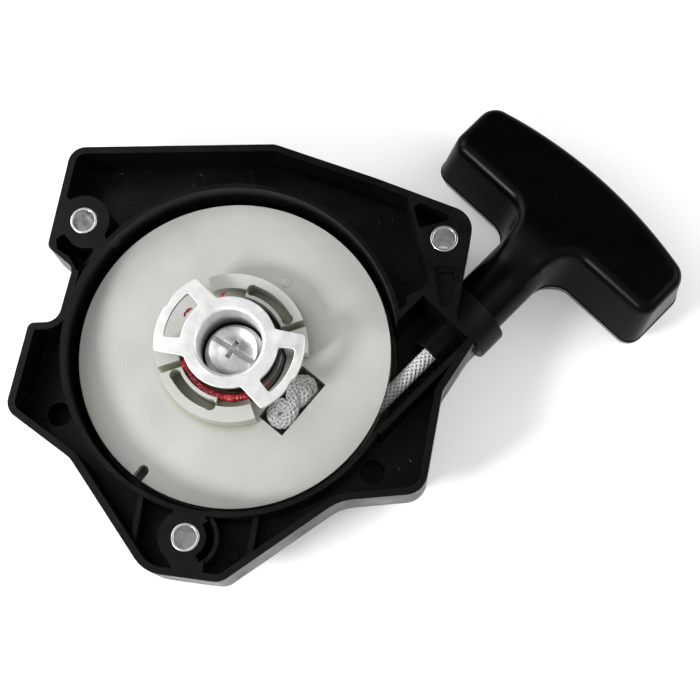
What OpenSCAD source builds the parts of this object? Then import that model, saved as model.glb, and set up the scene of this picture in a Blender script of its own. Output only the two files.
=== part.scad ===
/* [Housing] */
// Overall depth of the housing behind the mounting rim
housing_depth = 27.6; // [26:0.2:34]
// Wall along the outline
wall_t = 1.8; // [1.2:0.1:2.4]
// Depth of the tray between the outline and the drum
tray_depth = 12; // [9:0.5:14]
// Floor of the tray and of the drum
floor_t = 2.2; // [1.6:0.1:3]
// Radius of the drum well
drum_r = 41.3; // [40.8:0.1:44]
// Thickness of the raised ring round the drum
ring_t = 1.2; // [1:0.1:2]
// Thickness of the drum wall behind the tray floor
drum_wall_t = 2.2; // [1.4:0.1:3]
// Thickness of the stiffening ribs
rib_t = 1.4; // [1:0.1:2]

/* [Mounting] */
// Bore of the mounting sleeves
sleeve_bore_r = 2.7; // [2.1:0.05:2.8]
// Outside radius of the mounting sleeves
sleeve_r = 3.5; // [3.2:0.05:4.2]
// Radius of the bosses round the sleeves
boss_r = 6.6; // [6:0.1:8]

/* [Reel] */
// Gap between the reel's rim and the drum
reel_gap = 1.9; // [1:0.1:2.6]
// Depth of the reel's face below the mounting rim
reel_face_depth = 7.6; // [7:0.1:9]
// Thickness of the flange next to the engine
reel_top_flange_t = 3.1; // [2.2:0.1:4]
// Thickness of the flange next to the spring
reel_back_flange_t = 2; // [1.4:0.1:2.6]
// Radius of the core that the rope winds on
core_r = 24.5; // [24.1:0.1:25]
// Outside radius of the raised hub lobes
lobe_r = 19; // [18:0.1:20]
// Height of the hub lobes above the reel's face
lobe_h = 6.1; // [4.5:0.1:6.5]
// Radius of the hub that winds the spring
hub_r = 10.4; // [9.6:0.1:11]

/* [Rope] */
// Diameter of the rope
rope_d = 4; // [3:0.1:4.8]
// Layers of rope on the reel
rope_layers = 3; // [2:1:3]
// Direction in which the rope leaves, from the X axis
pull_angle = 45; // [44:0.5:46]

/* [Catcher] */
// Height of the catcher's flange above the mounting rim
catcher_top = 3.5; // [2.6:0.1:5]
// Sheet thickness of the catcher
sheet_t = 1.3; // [1:0.1:1.6]
// Room in the catcher's cup outside the post's bush
cup_room = 1.55; // [1.4:0.05:1.8]
// Width of the catcher's ring outside its cup
ring_w = 3.6; // [3.2:0.1:4.2]
// Outside radius of the catcher's lugs
lug_r = 18.6; // [17.5:0.1:19.5]

/* [Centre post] */
// Radius of the screw's thread
screw_r = 3; // [2.5:0.1:3.2]
// Radius of the screw's head
screw_head_r = 6.1; // [5.5:0.1:6.6]
// Height of the screw's head
screw_head_h = 3.5; // [3:0.1:4]
// Radius of the post moulded on the housing
post_r = 5.45; // [5.2:0.05:6.6]
// Wall of the steel bush on the post
bush_t = 1; // [0.8:0.05:1.1]

/* [Handle] */
// Width of the grip's cross-bar
grip_w = 70; // [60:1:84]
// Depth of the cross-bar, measured along the pull
grip_d = 20; // [18:0.5:28]
// Thickness of the grip
grip_h = 22; // [21:0.5:26]
// Crown of the cross-bar's outer side
grip_crown = 4.6; // [2:0.2:7]
// Radius of the stem
stem_r = 7.6; // [7.2:0.1:9.2]
// Length of the stem between the housing and the cross-bar
stem_l = 21.4; // [19:0.2:32]
// Wall of the grip shells
grip_wall = 2.2; // [1.8:0.1:2.6]

/* [Clearances] */
// Radial clearance of running fits
run_gap = 0.05; // [0.02:0.01:0.1]
// Gap between moving faces
face_gap = 0.5; // [0.4:0.05:0.7]
// Clearance of loose fits
loose_gap = 0.3; // [0.3:0.05:0.4]

/* [Hidden] */
$fn = 64;
eps = 0.01;
over = 1;

// Corners of the outline, clockwise: x, y and the corner's radius
outline = [
    [-42.2, 53.0, 4.5], [10.2, 53.0, 4], [36.0, 43.4, 60], [60.8, 33.2, 6], [55.6, 6.6, 2],
    [60.4, 1.0, 2], [51.9, -12.0, 4], [47.2, -36.9, 5.5], [26.8, -38.6, 12], [-1.2, -57.9, 4.5],
    [-19.6, -55.4, 9], [-38.6, -27.8, 6], [-55.2, -15.6, 4.5], [-50.6, 6.3, 1.6], [-43.4, 6.5, 4],
    [-40.3, 20.6, 2.5], [-47.0, 26.2, 2.2]
];
sleeve_places = [[-38.1, 33.1], [53.0, 27.1], [-9.9, -47.1]];
well_places = [[34.6, -29.8], [-44.6, -14.6]];
well_r = 3.1;
well_depth = 6.5;
screw_room_r = 5.4;
crescent_in = boss_r - 1.6;
crescent_out = boss_r + 0.3;
back_rim = 6;
back_recess = 0.8;
groove_in = 4.5;
groove_out = 2.5;
back_ring_in = 6.5;
back_ring_out = 9.5;
spoke_h = 1;

// Levels along Z
tray_z = -tray_depth;
tray_back_z = tray_z - floor_t;
back_z = -housing_depth;
drum_floor_z = back_z + floor_t;
reel_face_z = -reel_face_depth;
groove_w = rope_d + 2 * loose_gap;
groove_top_z = reel_face_z - reel_top_flange_t;
rope_z = groove_top_z - groove_w / 2;
groove_back_z = groove_top_z - groove_w;
reel_back_z = groove_back_z - reel_back_flange_t;
cover_t = 0.8;
case_t = 0.8;
cover_top_z = reel_back_z - face_gap;
cover_back_z = cover_top_z - cover_t;
case_floor_z = drum_floor_z + case_t;
spring_back_z = case_floor_z + loose_gap + 0.1;
spring_top_z = cover_back_z - loose_gap - 0.1;
hub_back_z = case_floor_z + face_gap;
lobe_top_z = reel_face_z + lobe_h;

// Centre post, screw and catcher
reel_r = drum_r - reel_gap;
bush_r = post_r + bush_t;
cup_r = bush_r + cup_room;
ring_flange_r = cup_r + ring_w;
lug_angles = [151.7, -29.5];
lug_half_angle = 34.5;
lug_window_half = 22.5;
insert_r = 4;
head_top_z = reel_face_z + 3.7;
head_back_z = head_top_z - screw_head_h;
lock_washer_t = 0.9;
washer_t = 1;
post_top_z = head_back_z - lock_washer_t - washer_t;
washer_r = cup_r - 0.4;
cup_floor_z = post_top_z - 0.2 - sheet_t;
bearing_t = 0.9;
bearing_r = bush_r + run_gap + bearing_t;
reel_bush_t = 1.1;
reel_bush_r = bush_r + run_gap + reel_bush_t;
reel_core_top_z = cup_floor_z - loose_gap;
flange_back_z = catcher_top - sheet_t;
screw_end_z = drum_floor_z + 3;
spring_strip = 0.6;
spring_turns = 9;
spring_in_r = hub_r + 1.4;
spring_out_r = drum_r - 2.2;
spring_hook_angle = 150;
damper_wire_r = 0.9;
damper_r = ring_flange_r + 0.4;
damper_room_r = damper_r + damper_wire_r + loose_gap;
damper_turns = 4;
damper_floor_z = groove_back_z + 0.6;
damper_pitch = 2.3;

// Rope, guide and handle, measured along the pull from the foot below
rope_r = rope_d / 2;
winding_r = core_r + rope_r + rope_d * (rope_layers - 1);
winding_out_r = winding_r + rope_r;
pull_foot = [winding_r * sin(pull_angle), -winding_r * cos(pull_angle), rope_z];
run_start = sqrt(pow(winding_out_r + rope_r + loose_gap, 2) - pow(winding_r, 2));
channel_side = [-9.6, 5.9];
channel_end = 42.3;
channel_floor_z = rope_z - 4.4;
exit_wall_t = 1.9;
guide_mouth = 34.4;
guide_r = 5.6;
guide_bore_r = 3.6;
eyelet_r = rope_r + loose_gap;
socket_start = channel_end + exit_wall_t;
socket_end = socket_start + 7.6;
seat_depth = 4.5;
socket_bore_r = stem_r + loose_gap;
socket_wall = 1.9;
socket_r = socket_bore_r + socket_wall;
seat_z = socket_end - seat_depth;
bar_start = socket_end + stem_l;
bar_end = bar_start + grip_d;
grip_round = 5;
part_line_z = rope_z - grip_h * 0.2;
tail_start = seat_z + 0.1;
chamber_start = bar_start + 1;
chamber_l = 13;
retainer_t = 1.6;
retainer_r = 5.2;
knot_r = 3.7;
grip_screw_r = 1.4;
grip_screw_head_r = 2.6;
grip_screw_l = grip_h - 5;

// Knot pocket in the reel's face
pocket_angle = -40;
pocket_in = 15.4;
pocket_out = 23.1;
pocket_half_l = 8.4;
pocket_depth = 7.4;

function unit(v) = v / norm(v);
function flat(p) = [p[0], p[1]];
function polar(r, a) = [r * cos(a), r * sin(a)];
function turn_sign(u, v) = sign(u[0] * v[1] - u[1] * v[0]);
function at(list, i) = list[(i + len(list)) % len(list)];

// The round that replaces corner q between its neighbours p and s
function corner_arc(p, q, s) =
    let (u = unit(flat(p) - flat(q)), v = unit(flat(s) - flat(q)), half = acos(u * v) / 2)
    let (c = flat(q) + unit(u + v) * q[2] / sin(half), start = flat(q) + u * q[2] / tan(half))
    let (a = atan2(start[1] - c[1], start[0] - c[0]), sweep = -turn_sign(u, v) * (180 - 2 * half))
    let (steps = max(2, ceil(abs(sweep) / 11)))
    [for (i = [0 : steps]) c + q[2] * [cos(a + sweep * i / steps), sin(a + sweep * i / steps)]];
function rounded(list) =
    [for (i = [0 : len(list) - 1]) each corner_arc(at(list, i - 1), list[i], at(list, i + 1))];

// A clockwise list of corners moved inwards by w
function inset(list, w) = [
    for (i = [0 : len(list) - 1])
        let (q = list[i], u = unit(flat(at(list, i - 1)) - flat(q)), v = unit(flat(at(list, i + 1)) - flat(q)))
        let (half = acos(u * v) / 2, side = turn_sign(u, v), c = flat(q) + side * unit(u + v) * w / sin(half))
        [c[0], c[1], max(q[2] - side * w, 0.4)]
];

// A solid of the outline, moved inwards, between two levels
module outline_slab(in_by, z0, z1) {
    translate([0, 0, z0])
        linear_extrude(z1 - z0)
            polygon(rounded(inset(outline, in_by)));
}

// A prism over a short list of corners with radii
module prism(corners, z0, z1) {
    translate([0, 0, z0])
        linear_extrude(z1 - z0)
            polygon(rounded(corners));
}

// A cylinder between two levels
module post(r, z0, z1) {
    translate([0, 0, z0])
        cylinder(h = z1 - z0, r = r);
}

module tube(r_in, r_out, z0, z1) {
    difference() {
        post(r_out, z0, z1);
        post(r_in, z0 - over, z1 + over);
    }
}

// A ring sector between two angles
module sector(r_in, r_out, a0, a1, z0, z1) {
    translate([0, 0, z0])
        rotate([0, 0, a0])
            rotate_extrude(angle = a1 - a0)
                translate([r_in, 0])
                    square([r_out - r_in, z1 - z0]);
}

// The pull's own frame: X along the pull, Y to its left, origin at the foot on the rope's axis
module along_pull() {
    translate(pull_foot)
        rotate([0, 0, pull_angle])
            children();
}

// A cylinder on the pull's axis
module pull_rod(r, from, to) {
    along_pull()
        translate([from, 0, 0])
            rotate([0, 90, 0])
                cylinder(h = to - from, r = r);
}

module pull_cone(r0, r1, from, to) {
    along_pull()
        translate([from, 0, 0])
            rotate([0, 90, 0])
                cylinder(h = to - from, r1 = r0, r2 = r1);
}

// A box in the pull's frame, with levels in the part's own Z
module pull_box(from, to, side0, side1, z0, z1) {
    along_pull()
        translate([from, -side1, z0 - rope_z])
            cube([to - from, side1 - side0, z1 - z0]);
}

// The lower sleeve's place, which has a crescent pocket beside it
module lower_sleeve() {
    translate([sleeve_places[2][0], sleeve_places[2][1], 0])
        children();
}

// Solid corners of the rim round the sleeves and beside the rope channel
module rim_pads() {
    for (p = sleeve_places)
        translate([p[0], p[1], tray_back_z])
            cylinder(h = -tray_back_z, r = boss_r);
    prism([[42.9, 42, 1], [64, 34, 1], [62, 4, 1], [44, 8, 1], [43.2, 12, 1.5], [49.2, 15.3, 2.6], [48.4, 19.8, 2]],
        tray_back_z, 0);
    prism([[-48, 24, 1], [-49, 32, 1], [-44, 40, 1], [-34, 34, 3], [-32, 27.5, 1], [-40, 18, 1]], tray_back_z, 0);
    prism([[-12, -56, 0.5], [-15.2, -50.4, 0.6], [-16.2, -46.6, 3], [-12.4, -40, 1], [-5.6, -41, 1],
        [-5, -46.8, 3], [-5.6, -57, 0.5]], tray_back_z, 0);
    lower_sleeve()
        sector(crescent_out, crescent_out + 1, -64, 40, tray_back_z, -1.2);
}

// Pockets that lighten the solid corners
module pad_pockets() {
    lower_sleeve()
        sector(crescent_in, crescent_out, -60, 36, tray_z, over);
    prism([[45.4, 35.6, 0.6], [47.2, 36.7, 0.8], [54.3, 33.2, 0.8], [54.2, 31.9, 0.8], [46.8, 29.9, 0.8]],
        tray_z, over);
    prism([[50.2, 20.0, 0.8], [56.7, 19.4, 1], [54.6, 9.6, 1.2], [51.7, 9.4, 1]], -0.9, over);
    prism([[50.9, 18.8, 0.6], [55.9, 18.3, 0.8], [54.2, 10.0, 1], [51.9, 9.8, 0.8]], -1.9, over);
    prism([[-44.9, 28.1, 0.8], [-43.0, 29.7, 0.8], [-40.6, 26.6, 1.5], [-38.4, 25.7, 1.5], [-34.9, 25.6, 0.6],
        [-38.7, 18.9, 0.8], [-41.4, 23.4, 1], [-44.6, 25.6, 0.8]], tray_z, over);
}

// Ribs across the tray
module tray_ribs() {
    rib_top = -3.6;
    translate([-21.9, -34, tray_z])
        rotate([0, 0, -98])
            cube([16, rib_t, rib_top - tray_z]);
    translate([6.2, -40, tray_z])
        rotate([0, 0, -99])
            cube([14, rib_t, rib_top - tray_z]);
}

// Skirt and ribs behind the tray, on the side away from the handle's arm
module back_frame() {
    skirt_z = back_z + 2.6;
    skirt_wall = wall_t + 0.4;
    rib_margin = 2.6;
    intersection() {
        difference() {
            outline_slab(0.6, skirt_z, tray_z - 0.5);
            outline_slab(0.6 + skirt_wall, skirt_z - over, tray_z);
        }
        rotate([0, 0, -128])
            translate([0, -70, skirt_z])
                cube([80, 100, housing_depth]);
    }
    intersection() {
        outline_slab(rib_margin, skirt_z, tray_z - 0.5);
        union() {
            for (a = [-140 : 20 : -40])
                rotate([0, 0, a])
                    translate([drum_r + 1, -rib_t / 2, skirt_z])
                        cube([30, rib_t, tray_z - 0.5 - skirt_z]);
        }
    }
    intersection() {
        outline_slab(rib_margin, skirt_z, tray_z - 0.5);
        union() {
            for (a = [20 : 24 : 188])
                rotate([0, 0, a])
                    translate([0, rib_t / 2, 0])
                        rotate([90, 0, 0])
                            linear_extrude(rib_t)
                                polygon([[drum_r + 1, tray_z - 1], [drum_r + 8.5, tray_z - 1],
                                    [drum_r + 1, back_z + 3]]);
        }
    }
}

// Blind wells beside the drum
module at_wells() {
    for (p = well_places)
        translate([p[0], p[1], 0])
            children();
}

// Centre post on the drum's floor
module centre_post() {
    post(post_r, drum_floor_z - eps, post_top_z);
}

module housing_shell() {
    color("#1b1b1d")
    difference() {
        union() {
            difference() {
                union() {
                    difference() {
                        outline_slab(0, tray_back_z, 0);
                        outline_slab(wall_t, tray_z, over);
                    }
                    intersection() {
                        outline_slab(0.2, tray_back_z, 0);
                        union() {
                            rim_pads();
                            pull_box(10, channel_end + 6, channel_side[0] - 1.5, channel_side[1] + 1.5, tray_back_z, 0);
                            tray_ribs();
                        }
                    }
                    post(drum_r + ring_t, tray_z, 0);
                    post(drum_r + drum_wall_t, back_z, tray_z);
                    pull_box(14, socket_start, channel_side[0] - 1.5, channel_side[1] + 1.5,
                        channel_floor_z - floor_t, tray_z);
                    pull_rod(guide_r + 1.8, channel_end - 0.5, socket_start);
                    back_frame();
                    at_wells()
                        post(well_r + rib_t, tray_z - well_depth - rib_t, tray_z);
                }
                post(drum_r, drum_floor_z, over);
                pull_box(6, channel_end, channel_side[0], channel_side[1], channel_floor_z, over);
                pad_pockets();
                at_wells()
                    post(well_r, tray_z - well_depth, tray_z + over);
                pull_rod(socket_r + loose_gap, socket_start, socket_end + 30);
                post(drum_r - back_rim, back_z - over, back_z + back_recess);
                tube(drum_r - groove_in, drum_r - groove_out, back_z - over, back_z + back_recess);
            }
            centre_post();
            for (a = [0 : 60 : 300])
                rotate([0, 0, a])
                    translate([back_ring_out - 0.5, -rib_t / 2, back_z])
                        cube([drum_r - back_rim + 1.5 - back_ring_out, rib_t, spoke_h]);
            tube(back_ring_in, back_ring_out, back_z, back_z + spoke_h);
        }
        for (p = sleeve_places)
            translate([p[0], p[1], 0]) {
                post(sleeve_r, tray_back_z - over, over);
                post(screw_room_r, back_z - over, tray_back_z);
            }
        pull_rod(guide_r, guide_mouth, socket_start + over);
        post(insert_r, screw_end_z - 1, post_top_z + over);
    }
}

module mount_sleeves() {
    color("#c9cacc")
    for (p = sleeve_places)
        translate([p[0], p[1], 0])
            difference() {
                post(sleeve_r, tray_back_z, 0);
                post(sleeve_bore_r, tray_back_z - over, over);
            }
}

// Nylon guide: tube through the wall, with a socket outside that takes the stem
module rope_guide() {
    color("#202022")
    difference() {
        union() {
            pull_rod(guide_r, guide_mouth, socket_start + 1);
            pull_rod(socket_r, socket_start, socket_end);
        }
        pull_rod(guide_bore_r, guide_mouth - over, seat_z);
        pull_cone(guide_bore_r + 1.2, guide_bore_r, guide_mouth - eps, guide_mouth + 1.6);
        pull_rod(socket_bore_r, seat_z - 1, socket_end + over);
    }
}

// Steel eyelet in the guide that the rope rubs on
module guide_eyelet() {
    eyelet_start = guide_mouth + 1.6;
    color("#b9babc")
    difference() {
        pull_rod(guide_bore_r, eyelet_start, socket_start);
        pull_rod(eyelet_r, eyelet_start - over, socket_start + over);
    }
}

// Steel cup that holds the recoil spring
module spring_case() {
    case_r = drum_r - 0.2;
    color("#8d9094")
    difference() {
        post(case_r, drum_floor_z, cover_back_z);
        post(case_r - case_t, case_floor_z, cover_back_z + over);
        post(post_r + 1.8, drum_floor_z - over, case_floor_z + over);
        rotate([0, 0, spring_hook_angle])
            translate([case_r - 3, -0.7, spring_back_z - 0.2])
                cube([6, 1.4, spring_top_z - spring_back_z + 4]);
    }
}

module spring_cover() {
    color("#a9acb0")
    tube(hub_r + 1, drum_r - 0.2, cover_back_z, cover_top_z);
}

// Flat strip wound in a spiral, with its outer end bent through the case's slot
function spring_point(turn, off) =
    let (r = spring_out_r - (spring_out_r - spring_in_r) * turn / spring_turns + off)
    polar(r, spring_hook_angle - turn * 360);

module recoil_spring() {
    per_turn = 32;
    steps = spring_turns * per_turn;
    half = spring_strip / 2;
    strip_angle = 180 / PI * spring_strip / spring_out_r;
    hook = [
        polar(spring_out_r + half + 1.2, spring_hook_angle),
        polar(spring_out_r + half + 1.2, spring_hook_angle - strip_angle),
        polar(spring_out_r + half, spring_hook_angle - strip_angle)
    ];
    outer = [for (i = [1 : steps]) spring_point(i / per_turn, half)];
    inner = [for (i = [steps : -1 : 0]) spring_point(i / per_turn, -half)];
    color("#6f747c")
    translate([0, 0, spring_back_z])
        linear_extrude(spring_top_z - spring_back_z)
            polygon(concat(hook, outer, inner));
}

module post_insert() {
    color("#b08d3c")
    tube(screw_r, insert_r, screw_end_z, post_top_z);
}

module post_bush() {
    color("#c4c6c8")
    tube(post_r, bush_r, drum_floor_z, post_top_z);
}

module post_washer() {
    color("#d4d5d6")
    tube(screw_r + 0.2, washer_r, post_top_z, post_top_z + washer_t);
}

module lock_washer() {
    color("#bfc1c3")
    difference() {
        tube(screw_r + 0.1, screw_head_r - 0.6, head_back_z - lock_washer_t, head_back_z);
        rotate([0, 0, 70])
            translate([0, -0.4, head_back_z - lock_washer_t - over])
                cube([screw_head_r, 0.8, lock_washer_t + 2 * over]);
    }
}

// Pan head with a slot and a small cross
module post_screw() {
    crown = 0.9;
    dome_r = (screw_head_r * screw_head_r + crown * crown) / (2 * crown);
    slot_angle = -32.6;
    color("#d9dadb")
    difference() {
        union() {
            post(screw_r, screw_end_z, head_back_z + eps);
            intersection() {
                post(screw_head_r, head_back_z, head_top_z + over);
                translate([0, 0, head_top_z - dome_r])
                    sphere(r = dome_r, $fn = 128);
            }
        }
        rotate([0, 0, slot_angle])
            translate([-screw_head_r - over, -0.65, head_top_z - 1.5])
                cube([2 * screw_head_r + 2 * over, 1.3, 3]);
        rotate([0, 0, slot_angle + 90])
            translate([-2.4, -0.65, head_top_z - 2.1])
                cube([4.8, 1.3, 4]);
    }
}

module rope_run() {
    color("#e8e8e6")
    pull_rod(rope_r, run_start, seat_z);
}

// A raised lobe of the reel's hub, from its slit end to its far end
module hub_lobe() {
    slot_in = damper_room_r + 0.9;
    slot_out = lobe_r - 2.3;
    difference() {
        sector(damper_room_r - 1.2, lobe_r, -5, 109, reel_face_z - 1, lobe_top_z);
        sector(slot_in, slot_out, 27, 71, reel_face_z - 0.5, lobe_top_z + over);
        for (a = [27, 71])
            rotate([0, 0, a])
                translate([(slot_in + slot_out) / 2, 0, 0])
                    post((slot_out - slot_in) / 2 + 0.15, reel_face_z - 0.5, lobe_top_z + over);
        rotate([0, 0, 18])
            translate([damper_room_r - 2, -0.9, reel_face_z - 0.5])
                cube([lobe_r - damper_room_r + 4, 1.8, lobe_h + 2]);
        sector(damper_room_r - 2, damper_room_r + 2, 76, 112, reel_face_z + 2.8, lobe_top_z + over);
    }
}

module knot_pocket() {
    rotate([0, 0, pocket_angle])
        translate([pocket_in, -pocket_half_l, reel_face_z - pocket_depth])
            cube([pocket_out - pocket_in, 2 * pocket_half_l, pocket_depth + over]);
}

module rope_reel() {
    notch_angle = 233.6;
    color("#dcdcd2")
    difference() {
        union() {
            difference() {
                post(reel_r, reel_back_z, reel_face_z);
                tube(core_r, reel_r + over, groove_back_z, groove_top_z);
            }
            post(hub_r, hub_back_z, reel_back_z + eps);
            for (turn = [0, 180])
                rotate([0, 0, turn])
                    hub_lobe();
        }
        post(reel_bush_r, hub_back_z - over, over);
        difference() {
            post(damper_room_r, damper_floor_z, over);
            post(damper_room_r - 2 * damper_wire_r - 2 * loose_gap, damper_floor_z - over, reel_core_top_z);
        }
        knot_pocket();
        rotate([0, 0, notch_angle])
            prism([[reel_r - 3.7, -1.35, 1.3], [reel_r - 3.7, 1.35, 1.3], [reel_r + 2, 1.35, 0.2],
                [reel_r + 2, -1.35, 0.2]], groove_top_z - over, reel_face_z + over);
        rotate([0, 0, pocket_angle])
            translate([hub_r - 1.2, -0.6, hub_back_z - over])
                cube([3, 1.2, 5]);
        sector(damper_room_r + 1.6, core_r - 1.6, 40, 250, reel_back_z - over, groove_back_z + 1);
    }
}

module reel_bush() {
    color("#b8923f")
    tube(bush_r + run_gap, reel_bush_r, hub_back_z, reel_core_top_z);
}

module rope_winding() {
    color("#e2e2de")
    tube(core_r, winding_out_r, rope_z - rope_r, rope_z + rope_r);
}

// Two lobes of the stopper knot, lying in the pocket
module rope_knot() {
    knot_z = reel_face_z - 1.6;
    color("#c9c9c4")
    rotate([0, 0, pocket_angle])
        union() {
            translate([19.1, 3.9, knot_z])
                sphere(r = knot_r, $fn = 40);
            translate([19.3, -4.3, knot_z])
                sphere(r = knot_r, $fn = 40);
            translate([19.2, -3.9, knot_z])
                rotate([-90, 0, 0])
                    cylinder(h = 7.8, r = 2.6);
        }
}

// Helix of round wire, as one swept solid
function damper_center(t) =
    [damper_r * cos(360 * t), damper_r * sin(360 * t), damper_floor_z + damper_wire_r + 0.2 + damper_pitch * t];

module damper_spring() {
    sides = 8;
    per_turn = 14;
    rings = damper_turns * per_turn;
    points = [
        for (i = [0 : rings], k = [0 : sides - 1])
            let (t = i / per_turn, c = damper_center(t), a = 360 * k / sides)
            c + damper_wire_r * (cos(a) * [cos(360 * t), sin(360 * t), 0] + sin(a) * [0, 0, 1])
    ];
    walls = [
        for (i = [0 : rings - 1], k = [0 : sides - 1])
            let (n = (k + 1) % sides)
            [i * sides + k, (i + 1) * sides + k, (i + 1) * sides + n, i * sides + n]
    ];
    start = [for (k = [0 : sides - 1]) k];
    end = [for (k = [sides - 1 : -1 : 0]) rings * sides + k];
    color("#b3141c")
    polyhedron(points = points, faces = concat(walls, [start, end]), convexity = 8);
}

// A lug on the side of +X: a sector between two straight edges
module catcher_lug() {
    half_in = 8.3;
    half_out = lug_r * sin(lug_half_angle);
    intersection() {
        post(lug_r, flange_back_z, catcher_top);
        translate([0, 0, flange_back_z - over])
            linear_extrude(sheet_t + 2 * over)
                polygon([[ring_flange_r - 3, -half_in], [ring_flange_r - 3, half_in], [lug_r * 0.83, half_out],
                    [lug_r + 4, half_out], [lug_r + 4, -half_out], [lug_r * 0.83, -half_out]]);
    }
}

module lug_window() {
    sector(ring_flange_r + 0.5, lug_r - 2.3, -lug_window_half, lug_window_half, flange_back_z - over, catcher_top + over);
}

// Drawn cup with a rolled lip, and the flange with two windowed lugs
module pawl_catcher() {
    lip = 1;
    lip_arc = [for (a = [0 : 15 : 90]) [cup_r + lip - lip * cos(a), catcher_top - lip + lip * sin(a)]];
    cup_bottom = [[bearing_r, cup_floor_z + sheet_t], [bearing_r, cup_floor_z], [cup_r + sheet_t, cup_floor_z]];
    cup_flange = [[cup_r + sheet_t, flange_back_z], [ring_flange_r, flange_back_z], [ring_flange_r, catcher_top]];
    color("#e4e5e6")
    union() {
        rotate([0, 0, 60])
            rotate_extrude()
                polygon(concat([[cup_r, cup_floor_z + sheet_t]], lip_arc, [for (i = [2 : -1 : 0]) cup_flange[i]],
                    [for (i = [2 : -1 : 0]) cup_bottom[i]]));
        for (a = lug_angles)
            rotate([0, 0, a])
                difference() {
                    catcher_lug();
                    post(ring_flange_r - 0.8, flange_back_z - over, catcher_top + over);
                    lug_window();
                    rotate([0, 0, 1.5])
                        translate([lug_r - 0.5, -12, flange_back_z - over])
                            cube([3, 12, 10]);
                }
    }
}

module catcher_bearing() {
    color("#ddd8c8")
    tube(bush_r + run_gap, bearing_r, cup_floor_z, cup_floor_z + sheet_t);
}

// Cross-bar shrunk all round by a margin: its outline from above, cut to its section along the pull
module bar_block(margin) {
    plan = [[bar_start, -grip_w / 2, grip_round], [bar_start, grip_w / 2, grip_round],
        [bar_end, grip_w / 2, grip_round], [bar_end + 1.36 * grip_crown, 0, 110], [bar_end, -grip_w / 2, grip_round]];
    section = [[bar_start, -grip_h / 2, grip_round], [bar_start, grip_h / 2, grip_round],
        [bar_end + grip_crown, grip_h / 2, grip_round + 2], [bar_end + grip_crown, -grip_h / 2, grip_round + 2]];
    along_pull()
        intersection() {
            translate([0, 0, -grip_h / 2])
                linear_extrude(grip_h)
                    polygon(rounded(inset(plan, margin)));
            translate([0, grip_w / 2, 0])
                rotate([90, 0, 0])
                    linear_extrude(grip_w)
                        polygon(rounded(inset(section, margin)));
        }
}

// Stem and its flare into the cross-bar
module stem_block() {
    pull_rod(stem_r, seat_z + 0.2, bar_start + 6);
    pull_cone(stem_r, stem_r + 2.6, bar_start - 7, bar_start + 3);
}

// Room for the rope, the retainer and the knot
module grip_room() {
    pull_rod(rope_r + 0.4, seat_z - over, chamber_start + over);
    pull_rod(retainer_r + 0.2, chamber_start, chamber_start + chamber_l);
}

module above_part_line() {
    translate([-20, -60, part_line_z])
        cube([200, 200, 60]);
}

// Hollow of the cross-bar, round the knot's housing and the screw posts
module bar_hollow() {
    difference() {
        bar_block(grip_wall);
        pull_rod(retainer_r + 2, bar_start - 4, chamber_start + chamber_l + 2);
        at_screws()
            cylinder(h = grip_h, r = grip_screw_r + 2);
    }
}

module grip_upper_shell() {
    color("#161617")
    difference() {
        union() {
            bar_block(0);
            stem_block();
        }
        translate([-20, -60, part_line_z - 60])
            cube([200, 200, 60]);
        bar_hollow();
        grip_room();
        at_screws()
            cylinder(h = grip_screw_l, r = grip_screw_r);
    }
}

module grip_lower_shell() {
    color("#19191a")
    difference() {
        union() {
            bar_block(0);
            stem_block();
        }
        translate([-20, -60, part_line_z])
            cube([200, 200, 60]);
        bar_hollow();
        grip_room();
        at_screws() {
            translate([0, 0, -over])
                cylinder(h = over + 2, r = grip_screw_head_r);
            cylinder(h = grip_screw_l, r = grip_screw_r);
        }
    }
}

// Two places under the cross-bar, Z up from its lower face
module at_screws() {
    for (side = [-1, 1])
        along_pull()
            translate([bar_start + grip_d / 2, side * (grip_w / 2 - 12), -grip_h / 2])
                children();
}

// Self-tapping screws that hold the two shells together from below
module grip_screws() {
    color("#9a9c9f")
    at_screws() {
        translate([0, 0, 0.3])
            cylinder(h = 1.7, r = grip_screw_head_r);
        translate([0, 0, 1])
            cylinder(h = grip_screw_l - 1, r = grip_screw_r);
    }
}

module rope_retainer() {
    color("#a7a9ac")
    difference() {
        pull_rod(retainer_r, chamber_start, chamber_start + retainer_t);
        pull_rod(rope_r, chamber_start - over, chamber_start + retainer_t + over);
    }
}

module rope_tail() {
    color("#e8e8e6")
    pull_rod(rope_r, tail_start, chamber_start + retainer_t);
}

module grip_knot() {
    knot_at = chamber_start + retainer_t + knot_r;
    color("#dededa")
    union() {
        along_pull()
            translate([knot_at, 0, 0])
                rotate([0, 0, 90])
                    sphere(r = knot_r, $fn = 40);
        pull_rod(rope_r, knot_at, knot_at + 1.7 * knot_r);
    }
}

housing_shell();
mount_sleeves();
rope_guide();
guide_eyelet();
spring_case();
spring_cover();
recoil_spring();
post_insert();
post_bush();
post_washer();
lock_washer();
post_screw();
rope_run();
rope_reel();
reel_bush();
rope_winding();
rope_knot();
damper_spring();
pawl_catcher();
catcher_bearing();
grip_upper_shell();
grip_lower_shell();
grip_screws();
rope_retainer();
rope_tail();
grip_knot();
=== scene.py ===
import math
import random

import bmesh
import bpy
from mathutils import Matrix, Vector


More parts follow.
